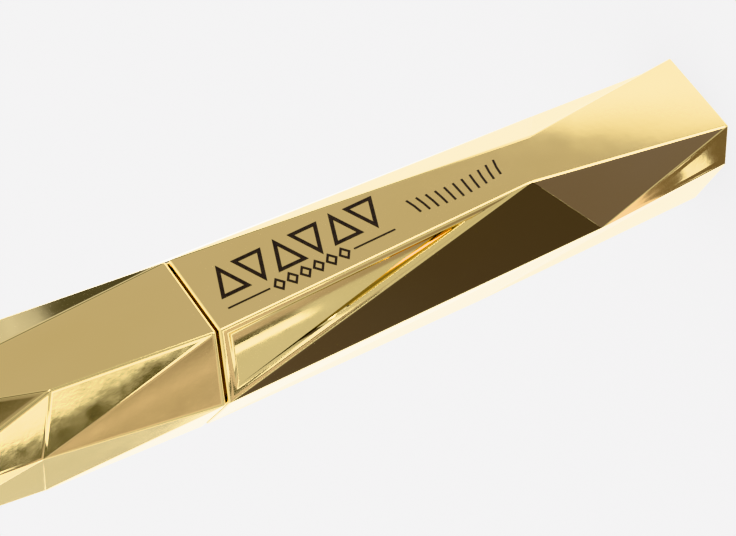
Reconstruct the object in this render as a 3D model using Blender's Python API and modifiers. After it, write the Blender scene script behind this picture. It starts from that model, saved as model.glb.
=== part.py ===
"""Faceted mascara tube: a gold overshell with a vial, and a gold cap with a wand.

The tube stands on its base with its long axis along +Z, and its origin is the centre of the base.
Lengths below are in millimetres and are turned into metres where an object is made.
"""

import math

import bmesh
import bpy

MM = 0.001
GAP = 0.3  # clearance between two pieces that touch on the real tube

# Heights along the tube.
BELT = 61.6  # top rim of the bottle, where the cap meets it
CAP_MOUTH = BELT + 0.4
CAP_TOP = 118.6
NECK_TOP = 69.4
SHOULDER = 57.4

# The bottle, from the outside in.
EDGE_ROUND = 0.22
BORE_RADIUS = 5.15
BASE_THICK = 1.8
COLLAR_RADIUS = 6.6
COLLAR_BOTTOM = SHOULDER + 0.5
VIAL_RADIUS = BORE_RADIUS - GAP - 0.05
VIAL_WALL = 0.85
FILL_RADIUS = VIAL_RADIUS - VIAL_WALL - GAP
FILL_LEVEL = 34.0
NECK_RADIUS = 3.9
NECK_BORE = 3.2
LABEL_RADIUS = 4.6
LABEL_THICK = 0.25

# The thread: a round ridge on the neck, and one inside the cap insert.
THREAD_PITCH = 3.0
THREAD_TURNS = 1.5
THREAD_START = 64.2
THREAD_RIDGE = 0.4

# The cap, and the wand in it.
INSERT_RADIUS = 5.6
INSERT_BORE = 4.9
INSERT_WEB = NECK_TOP + 2.5  # underside of the web that closes the insert
BOSS_RADIUS = 3.3
BOSS_TOP = 80.0
ROD_RADIUS = 1.85
ROD_END = 34.5
BRISTLE_RADIUS = 2.75
BRISTLE_TOP = 33.2
BRISTLE_END = 8.5
WIRE_RADIUS = 0.35
WIRE_END = 7.2
LIP_RADIUS = 2.2

PANEL_SIDE = 4  # the side after the fifth corner, which carries the flat front panel
FLAT_FOLD = 0.6  # degrees: two facets that fold less than this are one flat face
BEVEL_FOLD = 8  # degrees: edges that fold more than this are rounded
ROUND_STEPS = 32

# Each ring is six corners, anticlockwise from +X: (height, azimuth in degrees, radius).
# The printed panel lies between the fifth and sixth corners and faces -Y.
FOOT_RING = [(0, -2, 8.4), (0, 68, 7.2), (0, 118, 8.5), (0, 192.3, 6.8), (0, 230.7, 8.45), (0, 312, 8.0)]
WAIST_RING = [
    (16.5, -28, 7.6),
    (22.0, 52, 9.0),
    (28.6, 121, 9.3),
    (17.4, 197.1, 8.9),
    (23.8, 247.8, 8.9),
    (20.6, 285, 8.0),
]
BELT_CORNERS = [(1, 9.9), (60, 8.9), (121, 9.8), (181, 8.6), (238.2, 10.3), (301, 9.15)]
CAP_LOW_RING = [
    (79.8, -26, 9.2),
    (80.3, 68, 8.4),
    (80.3, 131.5, 8.6),
    (81.4, 194.5, 7.2),
    (79.2, 244.6, 9.35),
    (80.2, 293.6, 8.45),
]
CAP_HIGH_RING = [
    (97.0, -20, 9.0),
    (99.0, 50, 8.0),
    (98.0, 110, 8.8),
    (99.0, 172, 7.9),
    (98.0, 213, 9.2),
    (98.3, 285, 7.9),
]
TOP_CORNERS = [(-5, 9.0), (62, 7.8), (122, 9.0), (180, 7.8), (235, 9.0), (303, 7.8)]


def clear_scene():
    for obj in list(bpy.data.objects):
        bpy.data.objects.remove(obj, do_unlink=True)


def collection(name, hidden=False):
    made = bpy.data.collections.new(name)
    bpy.context.scene.collection.children.link(made)
    made.hide_render = hidden
    return made


def material(name, color, roughness, metallic=0.0):
    made = bpy.data.materials.new(name)
    made.use_nodes = True
    shader = made.node_tree.nodes["Principled BSDF"]
    shader.inputs["Base Color"].default_value = (*color, 1)
    shader.inputs["Roughness"].default_value = roughness
    shader.inputs["Metallic"].default_value = metallic
    made.diffuse_color = (*color, 1)
    return made


def add(name, mesh, finish, parts):
    obj = bpy.data.objects.new(name, mesh)
    parts.objects.link(obj)
    if finish:
        mesh.materials.append(finish)
    return obj


def helper(obj):
    """Marks an object that only cuts or joins another."""
    obj.hide_render = True
    obj.display_type = "WIRE"
    return obj


def boolean(obj, other, operation):
    modifier = obj.modifiers.new(operation.title(), "BOOLEAN")
    modifier.operation = operation
    modifier.object = other


def ring(corners, height):
    return [(height, azimuth, radius) for azimuth, radius in corners]


def corner_point(corner):
    height, azimuth, radius = corner
    angle = math.radians(azimuth)
    return (radius * math.cos(angle) * MM, radius * math.sin(angle) * MM, height * MM)


def faceted(name, rings, turned_sides, finish, parts):
    """A body lofted through rings of six corners, lowest first, with each side split in two facets.

    A side is split from its upper left corner to its lower right one. turned_sides lists the
    (layer, side) pairs that are split the other way.
    """
    mesh = bpy.data.meshes.new(name)
    shape = bmesh.new()
    levels = [[shape.verts.new(corner_point(corner)) for corner in level] for level in rings]
    sides = len(levels[0])
    for layer in range(len(levels) - 1):
        low, high = levels[layer], levels[layer + 1]
        for side in range(sides):
            after = (side + 1) % sides
            if (layer, side) in turned_sides:
                shape.faces.new((low[side], low[after], high[after]))
                shape.faces.new((low[side], high[after], high[side]))
            else:
                shape.faces.new((low[side], low[after], high[side]))
                shape.faces.new((low[after], high[after], high[side]))
    shape.faces.new(list(reversed(levels[0])))
    shape.faces.new(levels[-1])
    shape.normal_update()
    bmesh.ops.dissolve_limit(shape, angle_limit=math.radians(FLAT_FOLD), verts=shape.verts, edges=shape.edges)
    bmesh.ops.triangulate(shape, faces=shape.faces)
    shape.to_mesh(mesh)
    shape.free()
    obj = add(name, mesh, finish, parts)
    edges = obj.modifiers.new("Edges", "BEVEL")
    edges.width = EDGE_ROUND * MM
    edges.segments = 1
    edges.limit_method = "ANGLE"
    edges.angle_limit = math.radians(BEVEL_FOLD)
    return obj


def turned(name, profile, finish, parts, closed=False):
    """Turns (radius, height) points about Z. The outer side runs from top to bottom."""
    mesh = bpy.data.meshes.new(name)
    points = [(radius * MM, 0, height * MM) for radius, height in profile]
    edges = [(i, i + 1) for i in range(len(points) - 1)]
    if closed:
        edges.append((len(points) - 1, 0))
    mesh.from_pydata(points, edges, [])
    obj = add(name, mesh, finish, parts)
    screw = obj.modifiers.new("Turn", "SCREW")
    screw.steps = ROUND_STEPS
    screw.render_steps = ROUND_STEPS
    screw.use_merge_vertices = True
    screw.merge_threshold = 1e-6
    screw.use_smooth_shade = True
    return obj


def thread_ridge(name, radius, cutters):
    """A round ridge wound up the thread, as a mesh that a Boolean can join."""
    curve = bpy.data.curves.new(name, "CURVE")
    curve.dimensions = "3D"
    curve.bevel_depth = THREAD_RIDGE * MM
    curve.bevel_resolution = 1
    curve.use_fill_caps = True
    steps = int(16 * THREAD_TURNS)
    spline = curve.splines.new("POLY")
    spline.points.add(steps)
    for i, point in enumerate(spline.points):
        turn = THREAD_TURNS * i / steps
        angle = 2 * math.pi * turn + 0.1
        height = THREAD_START + THREAD_PITCH * turn
        place = (radius * math.cos(angle) * MM, radius * math.sin(angle) * MM, height * MM)
        point.co = (*place, 1)
    wound = bpy.data.objects.new(name, curve)
    cutters.objects.link(wound)
    bpy.context.view_layer.update()
    mesh = bpy.data.meshes.new_from_object(wound.evaluated_get(bpy.context.evaluated_depsgraph_get()))
    shape = bmesh.new()
    shape.from_mesh(mesh)
    bmesh.ops.remove_doubles(shape, verts=shape.verts, dist=1e-6)
    bmesh.ops.recalc_face_normals(shape, faces=shape.faces)
    shape.to_mesh(mesh)
    shape.free()
    ridge = add(name + "_ridge", mesh, None, cutters)
    ridge.matrix_world = wound.matrix_world
    bpy.data.objects.remove(wound)
    return helper(ridge)


def cut(obj, profile, cutters):
    """Cuts the shape turned from this profile out of an object."""
    boolean(obj, helper(turned(obj.name + "_cut", profile, None, cutters)), "DIFFERENCE")


def bottle_shell(finish, parts, cutters):
    rings = [FOOT_RING, WAIST_RING, ring(BELT_CORNERS, BELT)]
    obj = faceted("bottle_shell", rings, [(0, 0)], finish, parts)
    seat = COLLAR_BOTTOM - GAP
    cut(
        obj,
        [
            (0, BELT + 2),
            (COLLAR_RADIUS + GAP, BELT + 2),
            (COLLAR_RADIUS + GAP, seat),
            (BORE_RADIUS, seat),
            (BORE_RADIUS, BASE_THICK),
            (0, BASE_THICK),
        ],
        cutters,
    )
    recess = helper(
        turned(
            "label_recess",
            [(0, 0.6), (LABEL_RADIUS + GAP, 0.6), (LABEL_RADIUS + GAP, -1), (0, -1)],
            None,
            cutters,
        )
    )
    boolean(obj, recess, "DIFFERENCE")


def base_label(finish, parts):
    turned("base_label", [(0, LABEL_THICK), (LABEL_RADIUS, LABEL_THICK), (LABEL_RADIUS, 0), (0, 0)], finish, parts)


def vial(finish, parts, cutters):
    floor = BASE_THICK + GAP + 0.1
    inner = VIAL_RADIUS - VIAL_WALL
    profile = [
        (0, floor + 1.2),
        (inner - 0.5, floor + 1.2),
        (inner, floor + 1.7),
        (inner, SHOULDER - 2),
        (NECK_BORE, SHOULDER - 0.5),
        (NECK_BORE, NECK_TOP),
        (NECK_RADIUS, NECK_TOP),
        (NECK_RADIUS, SHOULDER),
        (VIAL_RADIUS, SHOULDER - 1),
        (VIAL_RADIUS, floor + 0.8),
        (VIAL_RADIUS - 0.8, floor),
        (0, floor),
    ]
    obj = turned("vial", profile, finish, parts)
    boolean(obj, thread_ridge("neck_thread", NECK_RADIUS, cutters), "UNION")


def neck_collar(finish, parts):
    inner = NECK_RADIUS + THREAD_RIDGE + GAP + 0.15
    top = BELT - 0.2
    profile = [
        (COLLAR_RADIUS - 0.3, top),
        (COLLAR_RADIUS, top - 0.3),
        (COLLAR_RADIUS, COLLAR_BOTTOM),
        (inner, COLLAR_BOTTOM),
        (inner, top - 0.3),
        (inner + 0.3, top),
    ]
    turned("neck_collar", profile, finish, parts, closed=True)


def wiper(finish, parts):
    outer = NECK_BORE - GAP
    flange = NECK_TOP + GAP
    profile = [
        (NECK_RADIUS - 0.05, flange + 0.6),
        (NECK_RADIUS - 0.05, flange),
        (outer, flange),
        (outer, 62.0),
        (LIP_RADIUS + 0.4, 60.0),
        (LIP_RADIUS, 60.0),
        (LIP_RADIUS, 60.6),
        (outer - 0.45, 62.4),
        (outer - 0.45, flange + 0.3),
        (outer - 0.2, flange + 0.6),
    ]
    turned("wiper", profile, finish, parts, closed=True)


def mascara_fill(finish, parts):
    bottom = BASE_THICK + 2 * GAP + 1.3
    well = BRISTLE_RADIUS + GAP
    profile = [
        (0, WIRE_END - 0.8),
        (well, WIRE_END - 0.8),
        (well, FILL_LEVEL - 0.5),
        (FILL_RADIUS, FILL_LEVEL),
        (FILL_RADIUS, bottom + 0.7),
        (FILL_RADIUS - 0.6, bottom),
        (0, bottom),
    ]
    turned("mascara_fill", profile, finish, parts)


def cap_shell(finish, parts, cutters):
    rings = [ring(BELT_CORNERS, CAP_MOUTH), CAP_LOW_RING, CAP_HIGH_RING, ring(TOP_CORNERS, CAP_TOP)]
    last_side = len(BELT_CORNERS) - 1
    obj = faceted("cap_shell", rings, [(0, last_side), (1, PANEL_SIDE - 1), (1, PANEL_SIDE)], finish, parts)
    bore = INSERT_RADIUS + GAP
    cut(
        obj,
        [
            (0, CAP_TOP - 5),
            (3.6, CAP_TOP - 5),
            (4.6, BOSS_TOP + 4),
            (4.6, INSERT_WEB + 2.4),
            (bore, INSERT_WEB + 1.9),
            (bore, CAP_MOUTH + 2.4),
            (bore + 0.8, CAP_MOUTH + 1.6),
            (bore + 0.8, CAP_MOUTH - 2),
            (0, CAP_MOUTH - 2),
        ],
        cutters,
    )


def cap_insert(finish, parts, cutters):
    hole = ROD_RADIUS + GAP
    web_top = INSERT_WEB + 1.4
    foot = CAP_MOUTH + 0.3
    profile = [
        (BOSS_RADIUS, BOSS_TOP),
        (BOSS_RADIUS, web_top),
        (INSERT_RADIUS - 0.6, web_top),
        (INSERT_RADIUS, web_top - 0.6),
        (INSERT_RADIUS, foot),
        (INSERT_BORE + 0.2, foot),
        (INSERT_BORE, foot + 0.3),
        (INSERT_BORE, INSERT_WEB),
        (hole, INSERT_WEB),
        (hole, BOSS_TOP),
    ]
    obj = turned("cap_insert", profile, finish, parts, closed=True)
    boolean(obj, thread_ridge("insert_thread", INSERT_BORE + 0.1, cutters), "UNION")


def cap_seal_ring(finish, parts):
    low, high = NECK_TOP + 1.2, INSERT_WEB - GAP
    profile = [(INSERT_BORE - 0.4, high), (INSERT_BORE - 0.4, low), (ROD_RADIUS + 0.7, low), (ROD_RADIUS + 0.7, high)]
    turned("cap_seal_ring", profile, finish, parts, closed=True)


def wand_rod(finish, parts):
    head = BOSS_TOP + GAP
    hole = WIRE_RADIUS + 0.4
    profile = [
        (0, head + 1.2),
        (ROD_RADIUS + 0.5, head + 1.2),
        (ROD_RADIUS + 0.95, head + 0.8),
        (ROD_RADIUS + 0.95, head),
        (ROD_RADIUS, head),
        (ROD_RADIUS, ROD_END + 3),
        (ROD_RADIUS - 0.45, ROD_END),
        (hole, ROD_END),
        (hole, ROD_END + 7.5),
        (0, ROD_END + 7.5),
    ]
    turned("wand_rod", profile, finish, parts)


def brush_core(finish, parts):
    top = ROD_END + 7
    tip = WIRE_END + WIRE_RADIUS
    profile = [(0, top), (WIRE_RADIUS, top), (WIRE_RADIUS, tip), (WIRE_RADIUS * 0.6, WIRE_END), (0, WIRE_END)]
    turned("brush_core", profile, finish, parts)


def brush_bristles(finish, parts):
    """The outline of all the fibres: full along the brush, and drawn in towards its tip."""
    hole = WIRE_RADIUS + 0.35
    shape = [(0.0, 0.62), (0.15, 0.8), (0.4, 0.94), (0.7, 1.0), (0.92, 1.0), (1.0, 0.86)]
    length = BRISTLE_TOP - BRISTLE_END
    outer = [(BRISTLE_RADIUS * share, BRISTLE_END + length * along) for along, share in reversed(shape)]
    turned("brush_bristles", outer + [(hole, BRISTLE_END), (hole, BRISTLE_TOP)], finish, parts, closed=True)


def main():
    clear_scene()
    parts = collection("mascara_tube")
    cutters = collection("cutters", hidden=True)
    gold = material("gold_metallised", (0.76, 0.58, 0.25), 0.08, 1.0)
    gold_cap = material("gold_metallised_cap", (0.76, 0.58, 0.25), 0.08, 1.0)
    bottle_shell(gold, parts, cutters)
    base_label(material("label_paper", (0.86, 0.84, 0.78), 0.6), parts)
    vial(material("vial_plastic", (0.10, 0.09, 0.09), 0.35), parts, cutters)
    neck_collar(material("collar_plastic", (0.03, 0.03, 0.03), 0.3), parts)
    wiper(material("wiper_plastic", (0.72, 0.72, 0.70), 0.45), parts)
    mascara_fill(material("mascara_black", (0.01, 0.01, 0.012), 0.25), parts)
    cap_shell(gold_cap, parts, cutters)
    cap_insert(material("insert_plastic", (0.05, 0.05, 0.05), 0.4), parts, cutters)
    cap_seal_ring(material("seal_foam", (0.85, 0.85, 0.83), 0.7), parts)
    wand_rod(material("rod_plastic", (0.02, 0.02, 0.02), 0.3), parts)
    brush_core(material("wire_steel", (0.55, 0.55, 0.56), 0.3, 1.0), parts)
    brush_bristles(material("bristle_nylon", (0.02, 0.02, 0.02), 0.5), parts)


main()
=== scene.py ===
"""Looks of the faceted gold mascara tube: mirror-gold shells, moulded inner parts, wand and brush.

The tube stands on its base with its axis along +Z, as the frame has it. The camera is rolled, so
that the tube lies across the picture with its cap to the left. Lengths below are in millimetres
and are turned into metres where a mesh or an object is made.
"""

import math
import random

import bmesh
import bpy
from mathutils import Matrix, Vector

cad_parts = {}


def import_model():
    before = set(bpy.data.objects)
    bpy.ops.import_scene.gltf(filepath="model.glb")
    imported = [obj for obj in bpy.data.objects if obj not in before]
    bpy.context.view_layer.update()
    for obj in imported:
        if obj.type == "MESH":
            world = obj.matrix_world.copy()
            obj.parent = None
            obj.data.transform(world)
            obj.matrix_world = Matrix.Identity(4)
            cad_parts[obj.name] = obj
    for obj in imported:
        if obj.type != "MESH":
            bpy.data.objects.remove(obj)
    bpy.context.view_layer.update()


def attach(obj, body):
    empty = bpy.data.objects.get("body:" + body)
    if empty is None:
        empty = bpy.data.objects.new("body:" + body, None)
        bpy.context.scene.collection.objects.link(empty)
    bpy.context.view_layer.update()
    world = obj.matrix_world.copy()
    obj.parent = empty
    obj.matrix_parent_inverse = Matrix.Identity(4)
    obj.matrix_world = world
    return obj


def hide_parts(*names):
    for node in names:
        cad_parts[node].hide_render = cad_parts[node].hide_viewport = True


MM = 0.001

# Camera, measured from the middle of the belt where the cap meets the bottle.
LENS = 148.4
CAMERA_DEPTH = 303.6
CAMERA_HEADING = -120.0  # azimuth of the camera seen from the tube, in degrees
TILT = 22.1  # how far the base leans away from the picture plane
SLOPE = 23.0  # how far the tube rises to the right in the picture
BELT_LEFT = 18.14  # where the belt lies in the picture, from its centre
BELT_BELOW = 7.29

# Outer shape of the shells. Each ring is six corners, anticlockwise from +X: (height, azimuth, radius).
BELT = 61.68
CAP_MOUTH = 61.92
CAP_TOP = 118.6
FOOT_RING = [(0, -2, 8.4), (0, 68, 7.2), (0, 118, 8.5), (0, 192.3, 6.8), (0, 230.7, 8.45), (0, 312, 8.0)]
WAIST_RING = [
    (16.5, -28, 7.6),
    (22.0, 52, 9.0),
    (28.6, 121, 9.3),
    (17.4, 197.1, 8.9),
    (23.8, 247.8, 8.9),
    (20.6, 285, 8.0),
]
BELT_CORNERS = [(1, 9.9), (60, 8.9), (121, 9.8), (181, 8.6), (238.2, 10.3), (301, 9.15)]
CAP_LOW_RING = [
    (79.8, -26, 9.2),
    (80.3, 68, 8.4),
    (80.3, 131.5, 8.6),
    (81.4, 194.5, 7.2),
    (79.2, 244.6, 9.35),
    (80.2, 293.6, 8.45),
]
CAP_HIGH_RING = [
    (97.0, -20, 9.0),
    (99.0, 50, 8.0),
    (98.0, 110, 8.8),
    (99.0, 172, 7.9),
    (98.0, 213, 9.2),
    (98.3, 285, 7.9),
]
TOP_CORNERS = [(-5, 9.0), (62, 7.8), (122, 9.0), (180, 7.8), (235, 9.0), (303, 7.8)]
EDGE_ROUND = 0.09
PANEL_EDGE_ROUND = 0.17
RIM_ROUND = 0.3
WAIST_ROUND = 5.0  # how far each side of the waist's edge its gentle bend reaches
SOFT_FOLD = 12.5  # degrees: edges that fold less than this get only a hairline of rounding
HAIR_ROUND = 0.01
SINK = [(0.3, 0.0003), (0.5, 0.0008)]  # steps of (width, depth) inside an edge
DEEP_SINK = [(0.3, 0.0), (0.2, 0.007), (0.3, 0.01), (0.4, 0.006)]  # the same, in one sunk facet
LEAST_REACH = 1.2  # a facet narrower than this doesn't sink
FULL_REACH = 2.8  # a facet at least this wide sinks by the whole steps

PANEL_SIDE = 4  # the side that carries the flat front panel
FLAT_FOLD = 0.6  # degrees: two facets that fold less than this are one flat face
PANEL_FACES = (-86, -2.4)  # where the front panel faces, between its upper and lower parts
SUNK_FACET_FACES = (200.2, -3.2)  # where the facet beside the panel's lower edge faces

# The bores in the shells.
BORE_RADIUS = 5.15
SEAT_RADIUS = 6.9
SEAT_HEIGHT = 57.6
MOUTH_CHAMFER = 0.3
BASE_THICK = 1.8
LABEL_RECESS = 4.9
LABEL_DEPTH = 0.6
CAP_BORE = 5.9

# The studio. Radiances are relative to the white of the world.
WORLD_LIGHT = 1.24
FLOOR_GLOW = 0.55  # the floor is a lit table, so that the tube casts only a faint shadow
BRIGHTEST = 8.0
CARD_DISTANCE = 1.2  # metres, from the tube's middle
TUBE_MIDDLE = 60
OLIVE = (1.0, 0.95, 0.98)
BROWN = (1.0, 0.89, 1.2)
WARM = (1.0, 0.87, 0.88)
FOOT_TINT = (1.0, 0.82, 0.8)
STREAKS_LONG = 1.2  # how finely a card's streaks vary along their length
STREAKS_SHORT = 5  # and across it
STREAKS_SCALE = 1.6
FLOOR_HALF = 4.0  # metres
FLOOR_DROP = 0.4
# Ramps of light across a card, as (place, radiance).
DARK_RAMP = [(0, 0.25), (0.34, 0.21), (0.375, 0.09), (0.55, 0.1), (0.7, 0.125), (0.86, 0.16), (1, 0.2)]
LIGHT_RAMP = [(0, 0.2), (0.25, 0.32), (0.5, 0.5), (0.65, 0.75), (1, 0.62)]
CORNER_RAMP = [(0, 0.6), (0.44, 0.4), (0.53, 0.1), (1, 0.08)]
GOLD_RAMP = [(0, 0.9), (0.2, 0.8), (0.3, 0.5), (0.37, 0.6), (0.43, 0.8), (0.5, 0.55), (0.57, 0.36), (1, 0.3)]
FOOT_RAMP = [(0, 0.2), (0.385, 0.22), (0.53, 0.26), (0.57, 1.6), (1, 2.2)]
UPPER_RAMP = [(0, 0.1), (0.45, 0.12), (0.6, 0.6), (1, 1.0)]
SURROUND_RAMP = [(0, 0.55), (0.45, 0.75), (0.7, 1.0), (1, 1.3)]
FLAG_RAMP = [(0, 0.1), (0.45, 0.2), (0.6, 0.12), (1, 0.35)]
STREAK_RAMP = [(0, 0.2), (0.36, 0.18), (0.38, 0.035), (0.45, 0.035), (0.463, 3.0), (1, 4.0)]
STREAK_END_RAMP = [(0, 0.2), (0.3, 0.18), (0.32, 0.035), (0.44, 0.035), (0.455, 3.0), (1, 4.0)]
# The dark flags round the tube, as (azimuth, elevation, width, height) in degrees.
FLAGS = [
    (-76, 2, 14, 36),
    (-22, -4, 22, 50),
    (41, -6, 18, 44),
    (111, -4, 8, 44),
    (140, -6, 18, 44),
    (-174, -4, 12, 44),
    (-126, 0, 16, 30),
]

ROUND_STEPS = 96
VIEW_TRANSFORM = "Khronos PBR Neutral"
THREAD_PITCH = 3.0
THREAD_TURNS = 1.5
THREAD_START = 64.2
THREAD_RIDGE = 0.38

# The inner pieces, as in the frame.
VIAL_RADIUS = 4.8
NECK_RADIUS = 3.9
NECK_TOP = 69.4
WIRE_END = 7.2
WIRE_TOP = 41.4
WIRE_RADIUS = 0.165
TWIST_PITCH = 1.5
BRISTLE_RADIUS = 2.75
BRISTLE_END = 8.5
BRISTLE_TOP = 33.2
FIBRES = 1700
PRINT_THICK = 0.03


# ---------------------------------------------------------------- materials


def new_material(name):
    """An empty Principled material: (material, nodes, link function, shader)."""
    made = bpy.data.materials.new(name)
    made.use_nodes = True
    nodes = made.node_tree.nodes
    shader = nodes["Principled BSDF"]
    return made, nodes, made.node_tree.links.new, shader


def noise(nodes, link, coordinates, scale, detail, roughness=0.5, stretch=None):
    """A noise texture on object coordinates, in features per metre."""
    made = nodes.new("ShaderNodeTexNoise")
    made.inputs["Scale"].default_value = scale
    made.inputs["Detail"].default_value = detail
    made.inputs["Roughness"].default_value = roughness
    source = coordinates.outputs["Object"]
    if stretch:
        mapping = nodes.new("ShaderNodeMapping")
        mapping.inputs["Scale"].default_value = stretch
        link(source, mapping.inputs["Vector"])
        source = mapping.outputs["Vector"]
    link(source, made.inputs["Vector"])
    return made.outputs["Fac"]


def remap(nodes, link, value, low, high, source=(0.3, 0.7)):
    made = nodes.new("ShaderNodeMapRange")
    made.inputs["From Min"].default_value = source[0]
    made.inputs["From Max"].default_value = source[1]
    made.inputs["To Min"].default_value = low
    made.inputs["To Max"].default_value = high
    link(value, made.inputs["Value"])
    return made.outputs["Result"]


def blend_colors(nodes, link, factor, first, second):
    made = nodes.new("ShaderNodeMix")
    made.data_type = "RGBA"
    made.inputs["A"].default_value = (*first, 1)
    made.inputs["B"].default_value = (*second, 1)
    link(factor, made.inputs["Factor"])
    return made.outputs["Result"]


def bump(nodes, link, height, distance, after=None):
    made = nodes.new("ShaderNodeBump")
    made.inputs["Strength"].default_value = 1.0
    made.inputs["Distance"].default_value = distance * MM
    link(height, made.inputs["Height"])
    if after:
        link(after, made.inputs["Normal"])
    return made.outputs["Normal"]


def gold_material(name, seed):
    """Vacuum-metallised plastic: a mirror with slow waves of the moulding and a fine orange peel."""
    made, nodes, link, shader = new_material(name)
    coordinates = nodes.new("ShaderNodeTexCoord")
    shader.inputs["Metallic"].default_value = 1.0
    tone = noise(nodes, link, coordinates, 90, 2, stretch=(1, 1, 0.4))
    tone = remap(nodes, link, tone, 0, 1)
    color = blend_colors(nodes, link, tone, (0.93, 0.73, 0.31), (0.96, 0.77, 0.35))
    link(color, shader.inputs["Base Color"])
    haze = noise(nodes, link, coordinates, 420 + seed, 4)
    link(remap(nodes, link, haze, 0.03, 0.055), shader.inputs["Roughness"])
    waves = noise(nodes, link, coordinates, 75 + seed, 1, stretch=(1, 1, 0.45))
    peel = noise(nodes, link, coordinates, 1500, 2)
    slow = bump(nodes, link, waves, 0.03)
    link(bump(nodes, link, peel, 0.0004, slow), shader.inputs["Normal"])
    return made


def plastic_material(name, dark, light, roughness, grain=3000, relief=0.004, coat=0.0):
    """A moulded plastic: slightly uneven colour and gloss, with a fine surface grain."""
    made, nodes, link, shader = new_material(name)
    coordinates = nodes.new("ShaderNodeTexCoord")
    tone = noise(nodes, link, coordinates, 260, 3)
    link(blend_colors(nodes, link, remap(nodes, link, tone, 0, 1), dark, light), shader.inputs["Base Color"])
    gloss = noise(nodes, link, coordinates, 900, 3)
    link(remap(nodes, link, gloss, roughness * 0.8, roughness * 1.2), shader.inputs["Roughness"])
    link(bump(nodes, link, noise(nodes, link, coordinates, grain, 2), relief), shader.inputs["Normal"])
    shader.inputs["Coat Weight"].default_value = coat
    return made


def wiper_material():
    made = plastic_material("soft_wiper", (0.62, 0.62, 0.60), (0.72, 0.72, 0.70), 0.4)
    shader = made.node_tree.nodes["Principled BSDF"]
    shader.inputs["Subsurface Weight"].default_value = 0.4
    shader.inputs["Subsurface Radius"].default_value = (0.002, 0.002, 0.002)
    return made


def cream_material():
    """The mascara itself: wet and black, with soft folds."""
    made, nodes, link, shader = new_material("mascara_cream")
    coordinates = nodes.new("ShaderNodeTexCoord")
    tone = noise(nodes, link, coordinates, 500, 3)
    shade = remap(nodes, link, tone, 0, 1)
    color = blend_colors(nodes, link, shade, (0.004, 0.004, 0.005), (0.014, 0.012, 0.012))
    link(color, shader.inputs["Base Color"])
    link(remap(nodes, link, tone, 0.12, 0.3), shader.inputs["Roughness"])
    folds = noise(nodes, link, coordinates, 700, 4, 0.6)
    link(bump(nodes, link, folds, 0.25), shader.inputs["Normal"])
    return made


def wire_material():
    made, nodes, link, shader = new_material("drawn_wire")
    coordinates = nodes.new("ShaderNodeTexCoord")
    shader.inputs["Metallic"].default_value = 1.0
    lines = noise(nodes, link, coordinates, 2500, 3, stretch=(1, 1, 0.05))
    color = blend_colors(nodes, link, remap(nodes, link, lines, 0, 1), (0.42, 0.42, 0.43), (0.6, 0.6, 0.61))
    link(color, shader.inputs["Base Color"])
    link(remap(nodes, link, lines, 0.2, 0.38), shader.inputs["Roughness"])
    link(bump(nodes, link, lines, 0.004), shader.inputs["Normal"])
    return made


def fibre_material():
    """Nylon fibres: black, with a little cream left on some of them."""
    made, nodes, link, shader = new_material("nylon_fibre")
    coordinates = nodes.new("ShaderNodeTexCoord")
    loaded = noise(nodes, link, coordinates, 650, 3)
    wet = remap(nodes, link, loaded, 0, 1, (0.45, 0.6))
    color = blend_colors(nodes, link, wet, (0.028, 0.026, 0.027), (0.006, 0.005, 0.006))
    link(color, shader.inputs["Base Color"])
    link(remap(nodes, link, loaded, 0.5, 0.2), shader.inputs["Roughness"])
    link(bump(nodes, link, noise(nodes, link, coordinates, 5000, 2), 0.01), shader.inputs["Normal"])
    return made


def label_material():
    """A matt film label with thin printed rings in place of its text."""
    made, nodes, link, shader = new_material("label_film")
    coordinates = nodes.new("ShaderNodeTexCoord")
    rings = nodes.new("ShaderNodeTexWave")
    rings.wave_type = "RINGS"
    rings.rings_direction = "Z"
    rings.inputs["Scale"].default_value = 160
    link(coordinates.outputs["Object"], rings.inputs["Vector"])
    ink = remap(nodes, link, rings.outputs["Fac"], 0, 1, (0.93, 0.96))
    link(blend_colors(nodes, link, ink, (0.82, 0.80, 0.74), (0.12, 0.1, 0.08)), shader.inputs["Base Color"])
    fibre = noise(nodes, link, coordinates, 2500, 4)
    link(remap(nodes, link, fibre, 0.5, 0.65), shader.inputs["Roughness"])
    link(bump(nodes, link, fibre, 0.004), shader.inputs["Normal"])
    return made


def ink_material():
    """Hot-stamped dark ink, slightly and unevenly worn."""
    made, nodes, link, shader = new_material("panel_ink")
    coordinates = nodes.new("ShaderNodeTexCoord")
    wear = noise(nodes, link, coordinates, 2200, 4)
    shade = remap(nodes, link, wear, 0, 1)
    color = blend_colors(nodes, link, shade, (0.010, 0.006, 0.004), (0.024, 0.015, 0.009))
    link(color, shader.inputs["Base Color"])
    link(remap(nodes, link, wear, 0.35, 0.55), shader.inputs["Roughness"])
    link(bump(nodes, link, wear, 0.003), shader.inputs["Normal"])
    shader.inputs["Specular IOR Level"].default_value = 0.25
    return made


# ---------------------------------------------------------------- meshes


def add(name, mesh, finish=None):
    obj = bpy.data.objects.new(name, mesh)
    bpy.context.scene.collection.objects.link(obj)
    if finish:
        dress(obj, finish)
    return obj


def dress(obj, finish):
    """Makes this material the object's only one."""
    obj.data.materials.clear()
    obj.data.materials.append(finish)


def rectangle(name, half_x, half_y):
    """A flat rectangle about the origin, in metres."""
    mesh = bpy.data.meshes.new(name)
    corners = [(-half_x, -half_y, 0), (half_x, -half_y, 0), (half_x, half_y, 0), (-half_x, half_y, 0)]
    mesh.from_pydata(corners, [], [(0, 1, 2, 3)])
    return mesh


def settle(obj):
    """Turns an object's modifiers into its mesh."""
    bpy.context.view_layer.update()
    graph = bpy.context.evaluated_depsgraph_get()
    mesh = bpy.data.meshes.new_from_object(obj.evaluated_get(graph))
    obj.modifiers.clear()
    obj.data = mesh
    return obj


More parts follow.
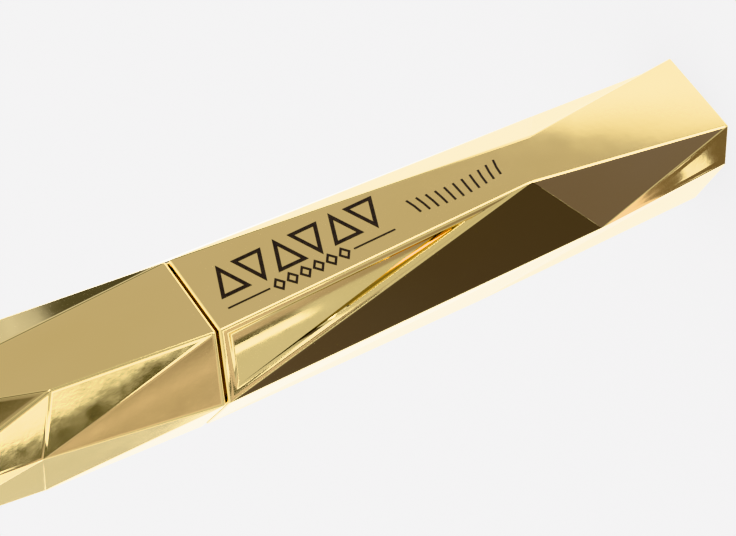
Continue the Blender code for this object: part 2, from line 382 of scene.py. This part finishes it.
def corner_point(corner):
    height, azimuth, radius = corner
    angle = math.radians(azimuth)
    return Vector((radius * math.cos(angle), radius * math.sin(angle), height)) * MM


def ring(corners, height):
    return [(height, azimuth, radius) for azimuth, radius in corners]


def faceted(name, rings, turned_sides, rim, soft_layer):
    """The shell's outer body: a loft through the rings, each side split in two flat facets.

    turned_sides are the (layer, side) pairs that are split along their other diagonal. soft_layer
    is the ring at which the front panel bends gently, or None.
    """
    mesh = bpy.data.meshes.new(name)
    shape = bmesh.new()
    levels = [[shape.verts.new(corner_point(corner)) for corner in level] for level in rings]
    sides = len(levels[0])
    for layer in range(len(levels) - 1):
        low, high = levels[layer], levels[layer + 1]
        for side in range(sides):
            after = (side + 1) % sides
            if (layer, side) in turned_sides:
                shape.faces.new((low[side], low[after], high[after]))
                shape.faces.new((low[side], high[after], high[side]))
            else:
                shape.faces.new((low[side], low[after], high[side]))
                shape.faces.new((low[after], high[after], high[side]))
    shape.faces.new(list(reversed(levels[0])))
    shape.faces.new(levels[-1])
    front = [{level[PANEL_SIDE], level[PANEL_SIDE + 1]} for level in levels]
    on_panel_edge = {vert for pair in front for vert in pair}
    shape.normal_update()
    flat = math.radians(FLAT_FOLD)
    bmesh.ops.dissolve_limit(shape, angle_limit=flat, verts=shape.verts, edges=shape.edges)
    weight = shape.edges.layers.float.new("bevel_weight_edge")
    waist = None
    for edge in shape.edges:
        ends = set(edge.verts)
        if all(abs(vert.co.z - rim * MM) < 1e-6 for vert in ends):
            edge[weight] = 1.0
        elif soft_layer is not None and ends == front[soft_layer]:
            waist = edge
        elif ends <= on_panel_edge:
            edge[weight] = PANEL_EDGE_ROUND / RIM_ROUND
        elif edge.calc_face_angle(0) < math.radians(SOFT_FOLD):
            edge[weight] = HAIR_ROUND / RIM_ROUND
        else:
            edge[weight] = EDGE_ROUND / RIM_ROUND
    if waist:
        soften(shape, waist)
    shape.to_mesh(mesh)
    shape.free()
    obj = add(name, mesh)
    edges = obj.modifiers.new("Edges", "BEVEL")
    edges.width = RIM_ROUND * MM
    edges.segments = 3
    edges.limit_method = "WEIGHT"
    settle(obj)
    dish(obj)
    return obj


def soften(shape, edge):
    """Cuts both faces beside an unbevelled edge, so that smooth shading makes it a gentle bend."""
    middle = (edge.verts[0].co + edge.verts[1].co) / 2
    heading = (edge.verts[1].co - edge.verts[0].co).normalized()
    for face in list(edge.link_faces):
        inward = heading.cross(face.normal).normalized()
        if inward.dot(face.calc_center_median() - middle) < 0:
            inward.negate()
        bmesh.ops.bisect_plane(
            shape,
            geom=[face, *face.edges, *face.verts],
            plane_co=middle + inward * WAIST_ROUND * MM,
            plane_no=inward,
        )


def dish(obj):
    """Lets each facet sink a little inside its edges, as moulded plastic does."""
    shape = bmesh.new()
    shape.from_mesh(obj.data)
    for face in list(shape.faces):
        reach = 2 * face.calc_area() / face.calc_perimeter() / MM
        printed = face.normal.dot(direction(*PANEL_FACES)) > 0.99
        if printed or reach < LEAST_REACH or abs(face.normal.z) > 0.9:
            continue
        middle = face.calc_center_median()
        deep = face.normal.dot(direction(*SUNK_FACET_FACES)) > 0.99 and middle.z < BELT * MM
        share = min(1.0, reach / FULL_REACH)
        for width, depth in DEEP_SINK if deep else SINK:
            bmesh.ops.inset_individual(
                shape,
                faces=[face],
                thickness=width * share * MM,
                depth=-depth * share * MM,
                use_even_offset=True,
            )
    shape.to_mesh(obj.data)
    shape.free()


def turned(name, profile, finish=None, closed=False):
    """Turns (radius, height) points about Z. closed joins the last point to the first."""
    mesh = bpy.data.meshes.new(name)
    points = [(radius * MM, 0, height * MM) for radius, height in profile]
    edges = [(i, i + 1) for i in range(len(points) - 1)]
    if closed:
        edges.append((len(points) - 1, 0))
    mesh.from_pydata(points, edges, [])
    obj = add(name, mesh)
    screw = obj.modifiers.new("Turn", "SCREW")
    screw.steps = ROUND_STEPS
    screw.render_steps = ROUND_STEPS
    screw.use_merge_vertices = True
    screw.merge_threshold = 1e-6
    settle(obj)
    smooth(obj)
    if finish:
        dress(obj, finish)
    return obj


def smooth(obj, angle=30):
    """Smooth shading that keeps each large face flat."""
    obj.data.shade_smooth()
    obj.data.set_sharp_from_angle(angle=math.radians(angle))
    weighted = obj.modifiers.new("Normals", "WEIGHTED_NORMAL")
    weighted.keep_sharp = True
    weighted.weight = 70
    settle(obj)


def cut(obj, profile):
    """Cuts the shape turned from this profile out of an object."""
    cutter = turned(obj.name + "_cut", profile)
    boolean = obj.modifiers.new("Bore", "BOOLEAN")
    boolean.operation = "DIFFERENCE"
    boolean.object = cutter
    settle(obj)
    bpy.data.objects.remove(cutter)


def shell(name, rings, turned_sides, rim, soft_layer, bores, finish):
    """A faceted body with its bores cut out, which doesn't throw its colour on what is near it."""
    obj = faceted(name, rings, turned_sides, rim, soft_layer)
    obj.visible_diffuse = False
    for profile in bores:
        cut(obj, profile)
    smooth(obj, 40)
    dress(obj, finish)
    return obj


def swept(name, path, section):
    """A closed tube of an (across, up) section, through a path of (centre, across, up, size) frames."""
    shape = bmesh.new()
    loops = []
    for centre, across, up, size in path:
        loops.append([shape.verts.new(centre + (across * a + up * b) * size) for a, b in section])
    count = len(section)
    for first, second in zip(loops, loops[1:]):
        for i in range(count):
            j = (i + 1) % count
            shape.faces.new((first[i], first[j], second[j], second[i]))
    shape.faces.new(list(reversed(loops[0])))
    shape.faces.new(loops[-1])
    bmesh.ops.recalc_face_normals(shape, faces=shape.faces)
    mesh = bpy.data.meshes.new(name)
    shape.to_mesh(mesh)
    shape.free()
    mesh.shade_smooth()
    mesh.set_sharp_from_angle(angle=math.radians(50))
    return add(name, mesh)


def helix(radius, start, pitch, turns, steps_per_turn, phase=0.0, fade=0.15):
    """Frames along a helix, thinning at both ends."""
    steps = int(turns * steps_per_turn)
    frames = []
    for i in range(steps + 1):
        share = i / steps
        angle = 2 * math.pi * turns * share + phase
        outward = Vector((math.cos(angle), math.sin(angle), 0))
        centre = outward * radius * MM + Vector((0, 0, (start + pitch * turns * share) * MM))
        ends = min(1.0, share / fade, (1 - share) / fade)
        size = 0.02 + 0.98 * math.sin(math.pi / 2 * ends)
        frames.append((centre, outward, Vector((0, 0, 1)), size))
    return frames


def join(main, others):
    """Adds the other objects' meshes to the main one."""
    shape = bmesh.new()
    for obj in [main, *others]:
        shape.from_mesh(obj.data)
    shape.to_mesh(main.data)
    shape.free()
    for obj in others:
        bpy.data.objects.remove(obj)
    return main


# ---------------------------------------------------------------- bottle


def belongs(obj, node, body):
    """Makes a piece stand for a CAD node, which it hides, and ride on its body."""
    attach(obj, body)
    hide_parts(node)


def bottle_shell(finish):
    rings = [FOOT_RING, WAIST_RING, ring(BELT_CORNERS, BELT)]
    bore = [
        (0, BELT + 2),
        (SEAT_RADIUS + MOUTH_CHAMFER, BELT + 2),
        (SEAT_RADIUS + MOUTH_CHAMFER, BELT),
        (SEAT_RADIUS, BELT - MOUTH_CHAMFER),
        (SEAT_RADIUS, SEAT_HEIGHT),
        (BORE_RADIUS, SEAT_HEIGHT),
        (BORE_RADIUS, BASE_THICK),
        (0, BASE_THICK),
    ]
    recess = [(0, LABEL_DEPTH), (LABEL_RECESS, LABEL_DEPTH), (LABEL_RECESS, -1), (0, -1)]
    obj = shell("bottle_gold_shell", rings, [(0, 0)], BELT, 1, [bore, recess], finish)
    belongs(obj, "bottle_shell", "bottle")


def cap_shell(finish):
    rings = [ring(BELT_CORNERS, CAP_MOUTH), CAP_LOW_RING, CAP_HIGH_RING, ring(TOP_CORNERS, CAP_TOP)]
    bore = [
        (0, CAP_TOP - 5),
        (3.6, CAP_TOP - 5),
        (4.6, 84.0),
        (4.6, 74.3),
        (CAP_BORE, 73.8),
        (CAP_BORE, CAP_MOUTH + 2.4),
        (CAP_BORE + 0.8, CAP_MOUTH + 1.6),
        (CAP_BORE + 0.8, CAP_MOUTH + 0.3),
        (CAP_BORE + 1.1, CAP_MOUTH),
        (CAP_BORE + 1.1, CAP_MOUTH - 2),
        (0, CAP_MOUTH - 2),
    ]
    last_side = len(BELT_CORNERS) - 1
    turned_sides = [(0, last_side), (1, PANEL_SIDE - 1), (1, PANEL_SIDE)]
    obj = shell("cap_gold_shell", rings, turned_sides, CAP_MOUTH, None, [bore], finish)
    belongs(obj, "cap_shell", "cap")


def round_section(radius, sides):
    """A regular section for swept, as (across, up) pairs in metres."""
    angles = [2 * math.pi * i / sides for i in range(sides)]
    return [(radius * MM * math.cos(angle), radius * MM * math.sin(angle)) for angle in angles]


def thread(name, radius, ridge, inward=False):
    """A round ridge that winds up from the thread's start and thins out at both ends."""
    frames = helix(radius, THREAD_START, THREAD_PITCH, THREAD_TURNS, ROUND_STEPS)
    section = round_section(ridge, 10)
    return swept(name, frames, [(x * (-1 if inward else 1), y) for x, y in section])


def base_label(finish):
    profile = [(0, 0.25), (4.5, 0.25), (4.6, 0.2), (4.6, 0.05), (4.55, 0.0), (0, 0.0)]
    belongs(turned("base_film_label", profile, finish), "base_label", "bottle")


def vial(finish):
    inner = VIAL_RADIUS - 0.85
    profile = [
        (0, 3.4),
        (inner - 0.5, 3.4),
        (inner, 3.9),
        (inner, 55.4),
        (3.2, 56.9),
        (3.2, NECK_TOP - 0.2),
        (3.4, NECK_TOP),
        (3.7, NECK_TOP),
        (NECK_RADIUS, NECK_TOP - 0.2),
        (NECK_RADIUS, 57.5),
        (NECK_RADIUS + 0.2, 57.3),
        (VIAL_RADIUS - 0.3, 56.5),
        (VIAL_RADIUS, 56.1),
        (VIAL_RADIUS, 3.0),
        (VIAL_RADIUS - 0.8, 2.2),
        (0, 2.2),
    ]
    obj = turned("vial_moulding", profile, finish)
    join(obj, [thread("neck_ridge", NECK_RADIUS, THREAD_RIDGE)])
    belongs(obj, "vial", "bottle")


def neck_collar(finish):
    """The collar round the neck, with a groove near its top."""
    profile = [
        (6.25, 61.35),
        (6.45, 61.3),
        (6.6, 61.1),
        (6.6, 60.5),
        (6.45, 60.35),
        (6.45, 59.95),
        (6.6, 59.8),
        (6.6, 57.9),
        (4.75, 57.9),
        (4.75, 61.1),
        (4.85, 61.3),
        (5.05, 61.35),
    ]
    obj = turned("collar_moulding", profile, finish, closed=True)
    belongs(obj, "neck_collar", "bottle")


def wiper(finish):
    profile = [
        (3.65, 70.3),
        (3.85, 70.1),
        (3.85, 69.8),
        (3.75, 69.7),
        (2.9, 69.7),
        (2.9, 62.0),
        (2.6, 60.1),
        (2.5, 60.0),
        (2.28, 60.0),
        (2.2, 60.1),
        (2.2, 60.55),
        (2.45, 62.4),
        (2.45, 69.9),
        (2.6, 70.2),
        (2.8, 70.3),
    ]
    belongs(turned("wiper_moulding", profile, finish, closed=True), "wiper", "bottle")


def cream(finish):
    """The mascara round the brush: a well with lumpy walls and a smeared upper edge."""
    well, outer = 3.08, 3.62
    wall = [(well, 6.6 + 0.9 * i) for i in range(30)]
    edge = [(well + 0.1, 33.4), (outer - 0.15, 33.9), (outer, 33.4)]
    profile = [(0, 6.5), *wall, *edge, (outer, 4.5), (3.1, 3.8), (0, 3.8)]
    obj = turned("mascara_cream", profile)
    for vert in obj.data.vertices:
        angle = math.atan2(vert.co.y, vert.co.x)
        height = vert.co.z / MM
        radius = math.hypot(vert.co.x, vert.co.y) / MM
        lump = math.sin(3 * angle + 0.8 * height) + 0.6 * math.sin(7 * angle - 1.7 * height)
        if abs(radius - well) < 0.05:
            scale = 1 + 0.025 * (lump + 1) / radius
            vert.co.x *= scale
            vert.co.y *= scale
        if height > 33:
            vert.co.z += 0.35 * math.sin(2 * angle + 0.6) * MM - 0.35 * MM
    dress(obj, finish)
    belongs(obj, "mascara_fill", "bottle")


def cap_insert(finish):
    profile = [
        (3.1, 80.0),
        (3.3, 79.8),
        (3.3, 73.6),
        (3.6, 73.3),
        (5.0, 73.3),
        (5.4, 73.15),
        (5.6, 72.7),
        (5.6, 62.5),
        (5.45, 62.3),
        (5.15, 62.3),
        (4.95, 62.5),
        (4.9, 62.7),
        (4.9, 71.9),
        (2.15, 71.9),
        (2.15, 80.0),
    ]
    obj = turned("cap_insert_moulding", profile, finish, closed=True)
    join(obj, [thread("insert_ridge", 5.0, THREAD_RIDGE, inward=True)])
    belongs(obj, "cap_insert", "cap")


def seal_ring(finish):
    profile = [
        (4.4, 71.6),
        (4.5, 71.5),
        (4.5, 70.7),
        (4.4, 70.6),
        (2.65, 70.6),
        (2.55, 70.7),
        (2.55, 71.5),
        (2.65, 71.6),
    ]
    belongs(turned("foam_seal_ring", profile, finish, closed=True), "cap_seal_ring", "seal")


def wand_rod(finish):
    """The rod, with a moulding step under the cap and a chamfered end that holds the wire."""
    profile = [
        (0, 81.5),
        (2.2, 81.5),
        (2.6, 81.35),
        (2.8, 81.1),
        (2.8, 80.4),
        (2.7, 80.3),
        (1.85, 80.3),
        (1.85, 68.0),
        (1.8, 67.8),
        (1.8, 38.4),
        (1.65, 36.4),
        (1.45, 35.0),
        (1.2, 34.5),
        (0.75, 34.5),
        (0.75, 42.0),
        (0, 42.0),
    ]
    belongs(turned("rod_moulding", profile, finish), "wand_rod", "cap")


def brush_core(finish):
    """Two wires twisted together, cut off at the tip and gripped inside the rod."""
    turns = (WIRE_TOP - WIRE_END) / TWIST_PITCH
    wires = []
    for half in range(2):
        frames = helix(WIRE_RADIUS, WIRE_END, TWIST_PITCH, turns, 14, phase=math.pi * half, fade=0.002)
        wires.append(swept(f"wire_{half}", frames, round_section(WIRE_RADIUS, 8)))
    obj = join(wires[0], wires[1:])
    obj.name = "twisted_wire"
    dress(obj, finish)
    belongs(obj, "brush_core", "cap")


def brush_radius(share):
    """How far the fibres reach, from the tip (0) to the rod (1)."""
    shape = [(0.0, 0.6), (0.15, 0.8), (0.4, 0.94), (0.7, 1.0), (0.92, 1.0), (1.0, 0.85)]
    for (first, low), (second, high) in zip(shape, shape[1:]):
        if share <= second:
            return BRISTLE_RADIUS * (low + (high - low) * (share - first) / (second - first))
    return BRISTLE_RADIUS * shape[-1][1]


def fibre(shape, root, heading, reach, lean, bend):
    """One tapered fibre of three sides, from the wire to its tip."""
    outward = Vector((math.cos(heading), math.sin(heading), 0))
    sideways = Vector((-outward.y, outward.x, 0))
    loops = []
    for step in range(4):
        share = step / 3
        centre = outward * (0.15 + (reach - 0.15) * share)
        centre += sideways * bend * share * share
        centre.z += lean * share
        thick = 0.055 * (1 - 0.55 * share)
        loop = []
        for corner in range(3):
            turn = 2 * math.pi * corner / 3
            offset = sideways * math.cos(turn) * thick + Vector((0, 0, 1)) * math.sin(turn) * thick
            loop.append(shape.verts.new((centre + offset + Vector((0, 0, root))) * MM))
        loops.append(loop)
    for first, second in zip(loops, loops[1:]):
        for i in range(3):
            j = (i + 1) % 3
            shape.faces.new((first[i], first[j], second[j], second[i]))
    shape.faces.new(list(reversed(loops[0])))
    shape.faces.new(loops[-1])


def brush_fibres(finish):
    """Nylon fibres caught in the twist of the wire, so they stand in two winding rows."""
    chance = random.Random(11)
    shape = bmesh.new()
    length = BRISTLE_TOP - BRISTLE_END
    for i in range(FIBRES):
        share = (i + 0.5) / FIBRES
        height = BRISTLE_END + 0.1 + (length - 0.2) * share
        heading = 2 * math.pi * (height / TWIST_PITCH) + math.pi * (i % 2) + chance.gauss(0, 0.45)
        reach = brush_radius(share) * chance.uniform(0.9, 0.995)
        room = min(height - BRISTLE_END, BRISTLE_TOP - height)
        lean = max(-room, min(room, chance.gauss(0, 0.22)))
        fibre(shape, height, heading, reach, lean, chance.gauss(0, 0.12))
    bmesh.ops.recalc_face_normals(shape, faces=shape.faces)
    mesh = bpy.data.meshes.new("brush_fibres")
    shape.to_mesh(mesh)
    shape.free()
    mesh.shade_smooth()
    belongs(add("brush_fibres", mesh, finish), "brush_bristles", "cap")


# ---------------------------------------------------------------- printed panel


def panel_frame():
    """Origin and axes of the front panel: along it from the belt down, across it, and out of it."""
    lower = corner_point((BELT, *BELT_CORNERS[PANEL_SIDE]))
    upper = corner_point((BELT, *BELT_CORNERS[PANEL_SIDE + 1]))
    waist = corner_point(WAIST_RING[PANEL_SIDE])
    along = (waist - lower).normalized()
    outward = along.cross(upper - lower).normalized()
    if outward.y > 0:
        outward.negate()
    across = (upper - lower) - along * (upper - lower).dot(along)
    return lower, along, across.normalized(), outward


def stroke(shape, frame, points, width):
    """A flat raised line through (along, across) points in millimetres, with mitred corners."""
    origin, along, across, outward = frame
    closed = points[0] == points[-1]
    flat = [Vector(point) for point in (points[:-1] if closed else points)]
    count = len(flat)
    sides = []
    for i, point in enumerate(flat):
        before = (point - flat[i - 1]).normalized() if closed or i else None
        after = (flat[(i + 1) % count] - point).normalized() if closed or i < count - 1 else None
        heading = ((before or after) + (after or before)).normalized()
        normal = Vector((-heading.y, heading.x))
        stretch = 1 / max(0.3, normal.dot(Vector((-(after or before).y, (after or before).x))))
        sides.append((point + normal * width / 2 * stretch, point - normal * width / 2 * stretch))

    def place(point, lift):
        return shape.verts.new(origin + (along * point.x + across * point.y + outward * lift) * MM)

    loops = []
    for left, right in sides:
        places = [(left, 0.0), (left, PRINT_THICK), (right, PRINT_THICK), (right, 0.0)]
        loops.append([place(point, lift) for point, lift in places])
    pairs = list(zip(loops, loops[1:])) + ([(loops[-1], loops[0])] if closed else [])
    for first, second in pairs:
        for i in range(4):
            j = (i + 1) % 4
            shape.faces.new((first[i], first[j], second[j], second[i]))
    if not closed:
        shape.faces.new(list(reversed(loops[0])))
        shape.faces.new(loops[-1])


def panel_print(finish):
    """A plain ornament in place of the printed words: facets, two rules and a row of lashes."""
    frame = panel_frame()
    shape = bmesh.new()
    low, high, wide = 3.4, 6.7, 2.9
    for i in range(6):
        start = 2.7 + 3.35 * i
        points = [(start, low), (start + wide, low), (start + wide / 2, high), (start, low)]
        if i % 2:
            points = [(x, low + high - y) for x, y in points]
        stroke(shape, frame, points, 0.42)
    for first, second in ((2.3, 7.2), (17.2, 22.2)):
        stroke(shape, frame, [(first, 1.9), (second, 1.9)], 0.2)
    for i in range(6):
        x = 8.3 + 1.55 * i
        stroke(shape, frame, [(x, 1.2), (x + 0.55, 1.9), (x, 2.6), (x - 0.55, 1.9), (x, 1.2)], 0.26)
    for i in range(11):
        x = 25.8 + i
        lean = (i - 5) * 0.09
        base = 2.0 + 0.02 * (i - 5) ** 2
        stroke(shape, frame, [(x, base), (x + lean * 0.35, base + 1.0), (x + lean, base + 2.0)], 0.24)
    bmesh.ops.recalc_face_normals(shape, faces=shape.faces)
    mesh = bpy.data.meshes.new("panel_print")
    shape.to_mesh(mesh)
    shape.free()
    obj = add("panel_print", mesh, finish)
    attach(obj, "bottle")


# ---------------------------------------------------------------- studio and camera


def direction(azimuth, elevation):
    a, e = math.radians(azimuth), math.radians(elevation)
    return Vector((math.cos(a) * math.cos(e), math.sin(a) * math.cos(e), math.sin(e)))


def picture_axes():
    """The picture's right, up and back directions, from the tube's own axes."""
    tilt, slope = math.radians(TILT), math.radians(SLOPE)
    axis = Vector((math.cos(tilt) * math.cos(slope), -math.cos(tilt) * math.sin(slope), math.sin(tilt)))
    away = Vector((0, 0, 1))
    toward = (axis * away.dot(axis) - away).normalized()
    side = axis.cross(toward)
    world_toward = direction(CAMERA_HEADING, 0)
    world_side = direction(CAMERA_HEADING - 90, 0)
    world_down = Vector((0, 0, -1))

    def to_world(picture):
        level = world_toward * picture.dot(toward) + world_side * picture.dot(side)
        return level + world_down * picture.dot(axis)

    return to_world(Vector((1, 0, 0))), -to_world(Vector((0, 1, 0))), -to_world(Vector((0, 0, 1)))


def camera():
    right, up, back = picture_axes()
    belt = Vector((0, 0, BELT)) * MM
    place = belt + (right * BELT_LEFT + up * BELT_BELOW + back * CAMERA_DEPTH) * MM
    data = bpy.data.cameras.new("camera")
    data.lens = LENS
    data.sensor_width = 36
    data.clip_start = 0.01
    obj = bpy.data.objects.new("camera", data)
    bpy.context.scene.collection.objects.link(obj)
    turn = Matrix((right, up, back)).transposed().to_4x4()
    obj.matrix_world = Matrix.Translation(place) @ turn
    bpy.context.scene.camera = obj


def edge_mask(nodes, link, axis, soft):
    """1 inside a card and 0 at its two edges across this axis."""
    rising = nodes.new("ShaderNodeMapRange")
    rising.interpolation_type = "SMOOTHSTEP"
    rising.inputs["From Max"].default_value = soft
    falling = nodes.new("ShaderNodeMapRange")
    falling.interpolation_type = "SMOOTHSTEP"
    falling.inputs["From Min"].default_value = 1.0
    falling.inputs["From Max"].default_value = 1 - soft
    link(axis, rising.inputs["Value"])
    link(axis, falling.inputs["Value"])
    both = nodes.new("ShaderNodeMath")
    both.operation = "MULTIPLY"
    link(rising.outputs["Result"], both.inputs[0])
    link(falling.outputs["Result"], both.inputs[1])
    return both.outputs["Value"]


def card_material(name, stops, along, soft, streaks, tint):
    """Light of a card: a ramp of radiance along one axis, with uneven streaks and soft edges."""
    made = bpy.data.materials.new(name)
    made.use_nodes = True
    made.cycles.emission_sampling = "NONE"
    nodes, link = made.node_tree.nodes, made.node_tree.links.new
    nodes.clear()
    coordinates = nodes.new("ShaderNodeTexCoord")
    split = nodes.new("ShaderNodeSeparateXYZ")
    link(coordinates.outputs["Generated"], split.inputs["Vector"])
    place = split.outputs["Y" if along == "y" else "X"]
    if streaks:
        mapping = nodes.new("ShaderNodeMapping")
        long, short = STREAKS_LONG, STREAKS_SHORT
        mapping.inputs["Scale"].default_value = (long, short, 1) if along == "y" else (short, long, 1)
        link(coordinates.outputs["Generated"], mapping.inputs["Vector"])
        texture = nodes.new("ShaderNodeTexNoise")
        texture.inputs["Scale"].default_value = STREAKS_SCALE
        texture.inputs["Detail"].default_value = 3
        link(mapping.outputs["Vector"], texture.inputs["Vector"])
        shift = remap(nodes, link, texture.outputs["Fac"], -streaks, streaks)
        total = nodes.new("ShaderNodeMath")
        total.operation = "ADD"
        link(place, total.inputs[0])
        link(shift, total.inputs[1])
        place = total.outputs["Value"]
    ramp = nodes.new("ShaderNodeValToRGB")
    elements = ramp.color_ramp.elements
    while len(elements) < len(stops):
        elements.new(0.5)
    for element, (position, radiance) in zip(elements, stops):
        element.position = position
        element.color = tuple(radiance / BRIGHTEST * share for share in tint) + (1,)
    link(place, ramp.inputs["Fac"])
    glow = nodes.new("ShaderNodeEmission")
    glow.inputs["Strength"].default_value = BRIGHTEST
    link(ramp.outputs["Color"], glow.inputs["Color"])
    mask = nodes.new("ShaderNodeMath")
    mask.operation = "MULTIPLY"
    link(edge_mask(nodes, link, split.outputs["X"], soft), mask.inputs[0])
    link(edge_mask(nodes, link, split.outputs["Y"], soft), mask.inputs[1])
    clear = nodes.new("ShaderNodeBsdfTransparent")
    mix = nodes.new("ShaderNodeMixShader")
    link(mask.outputs["Value"], mix.inputs["Fac"])
    link(clear.outputs["BSDF"], mix.inputs[1])
    link(glow.outputs["Emission"], mix.inputs[2])
    output = nodes.new("ShaderNodeOutputMaterial")
    link(mix.outputs["Shader"], output.inputs["Surface"])
    return made


def card(name, heading, size, stops, along="y", turn=0, soft=0.15, streaks=0.0, tint=(1, 1, 1), near=0.0):
    """A reflector or flag that only reflections see, facing the tube from this (azimuth, elevation).

    Its size is in degrees. Its X runs towards higher azimuths and its Y upwards, before it is turned.
    """
    azimuth, elevation = heading
    distance = CARD_DISTANCE - near
    outward = direction(azimuth, elevation)
    across = direction(azimuth + 90, 0)
    upward = outward.cross(across)
    spin = math.radians(turn)
    across, upward = (
        across * math.cos(spin) + upward * math.sin(spin),
        upward * math.cos(spin) - across * math.sin(spin),
    )
    half_x, half_y = (distance * math.tan(math.radians(angle / 2)) for angle in size)
    mesh = rectangle(name, half_x, half_y)
    obj = add(name, mesh, card_material(name, stops, along, soft, streaks, tint))
    turned_to = Matrix((across, upward, across.cross(upward))).transposed().to_4x4()
    obj.matrix_world = Matrix.Translation(outward * distance + Vector((0, 0, TUBE_MIDDLE * MM))) @ turned_to
    obj.visible_camera = False
    obj.visible_diffuse = False
    obj.visible_shadow = False
    obj.visible_transmission = False
    obj.visible_volume_scatter = False


def cards():
    """What the gold sees. Most of these are aimed at one facet each, as the camera sees it.

    From any other side, the surround, the broad whites and the flags set the tones.
    """
    card("back_white", (62, -22), (120, 46), [(0, 3.4), (1, 4.4)], soft=0.1)
    card("lower_white", (-25, -44), (46, 34), [(0, 2.6), (1, 3.0)], soft=0.08)
    card("top_white", (20, 58), (100, 50), [(0, 3.0), (1, 3.0)], soft=0.2)
    card("front_white", (-125, 24), (50, 40), [(0, 2.6), (1, 3.0)], soft=0.12)
    card("edge_white", (-112, -26), (44, 26), [(0, 6.5), (1, 6.5)], soft=0.06)
    plain = [(0, 0.6), (1, 0.6)]
    card("panel_olive", (-58.75, -22.2), (26, 40), plain, turn=-22, soft=0.08, near=0.1, tint=OLIVE)
    card("cap_corner", (-91, 1.0), (9, 8), CORNER_RAMP, along="x", soft=0.2, near=0.2, tint=OLIVE)
    look = {"turn": 30, "soft": 0.06, "streaks": 0.012, "near": 0.1, "tint": BROWN}
    card("dark_flag", (-159, -22.3), (16, 22), DARK_RAMP, **look)
    look = {"soft": 0.05, "streaks": 0.08, "near": 0.1, "tint": WARM}
    card("light_triangle", (156.4, -27), (7, 16), LIGHT_RAMP, **look)
    look = {"along": "x", "turn": 12.5, "soft": 0.06, "streaks": 0.01, "near": 0.1}
    card("cap_streak", (172.9, -8.5), (6, 12), STREAK_RAMP, **look)
    look = {"along": "x", "soft": 0.04, "streaks": 0.015, "near": 0.12}
    card("cap_streak_end", (161.3, -22.2), (2.6, 9), STREAK_END_RAMP, **look)
    look = {"along": "x", "turn": 12, "streaks": 0.03, "soft": 0.03, "near": 0.15, "tint": WARM}
    card("cap_gold", (161.2, -12), (4, 9), GOLD_RAMP, **look)
    card("foot_facet", (141.4, -38.8), (9, 9), FOOT_RAMP, streaks=0.015, near=0.1, tint=FOOT_TINT)
    card("foot_window", (141.55, -39.6), (0.7, 0.7), [(0, 2.6), (1, 2.6)], turn=20, soft=0.2, near=0.15)
    card("cap_upper", (14.8, -13.5), (5, 6), UPPER_RAMP, streaks=0.1, near=0.1)
    card("left_white", (128, -14), (22, 22), [(0, 2.4), (1, 2.4)], soft=0.1, near=0.03)
    for quarter in range(4):
        card(f"surround_{quarter}", (90 * quarter, -5), (100, 90), SURROUND_RAMP, soft=0.01, near=-0.3)
    for number, (azimuth, elevation, width, height) in enumerate(FLAGS):
        heading, size = (azimuth, elevation), (width, height)
        card(f"flag_{number}", heading, size, FLAG_RAMP, soft=0.25, streaks=0.15, near=0.05, tint=OLIVE)


def studio():
    scene = bpy.context.scene
    world = bpy.data.worlds.new("studio")
    scene.world = world
    world.use_nodes = True
    world.node_tree.nodes["Background"].inputs["Color"].default_value = (1, 1, 1, 1)
    world.node_tree.nodes["Background"].inputs["Strength"].default_value = WORLD_LIGHT
    scene.view_settings.view_transform = VIEW_TRANSFORM
    floor()
    cards()


def floor():
    """The pale table that the tube stands on, which lights itself a little and isn't reflected."""
    made, nodes, link, shader = new_material("floor")
    coordinates = nodes.new("ShaderNodeTexCoord")
    speck = remap(nodes, link, noise(nodes, link, coordinates, 400, 3), 0, 1)
    color = blend_colors(nodes, link, speck, (0.50, 0.497, 0.50), (0.51, 0.507, 0.51))
    link(color, shader.inputs["Base Color"])
    shader.inputs["Roughness"].default_value = 0.9
    shader.inputs["Specular IOR Level"].default_value = 0.0
    shader.inputs["Emission Color"].default_value = (1, 0.995, 1, 1)
    shader.inputs["Emission Strength"].default_value = FLOOR_GLOW
    obj = add("floor", rectangle("floor", FLOOR_HALF, FLOOR_HALF), made)
    obj.location.z = -FLOOR_DROP * MM
    obj.visible_glossy = False


def write_sizes():
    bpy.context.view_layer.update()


def main():
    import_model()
    camera()
    studio()
    bottle_shell(gold_material("gold_bottle", 3))
    cap_shell(gold_material("gold_cap", 11))
    panel_print(ink_material())
    base_label(label_material())
    vial(plastic_material("smoky_moulding", (0.055, 0.048, 0.046), (0.085, 0.075, 0.07), 0.25, coat=0.3))
    neck_collar(plastic_material("black_collar", (0.09, 0.03, 0.012), (0.13, 0.045, 0.018), 0.3))
    wiper(wiper_material())
    cream(cream_material())
    cap_insert(plastic_material("black_insert", (0.03, 0.03, 0.03), (0.055, 0.055, 0.055), 0.4))
    foam = plastic_material("seal_foam", (0.78, 0.78, 0.75), (0.88, 0.88, 0.86), 0.75, 2200, 0.06)
    seal_ring(foam)
    wand_rod(plastic_material("polished_rod", (0.012, 0.012, 0.012), (0.026, 0.025, 0.025), 0.2, coat=0.4))
    brush_core(wire_material())
    brush_fibres(fibre_material())
    write_sizes()


main()
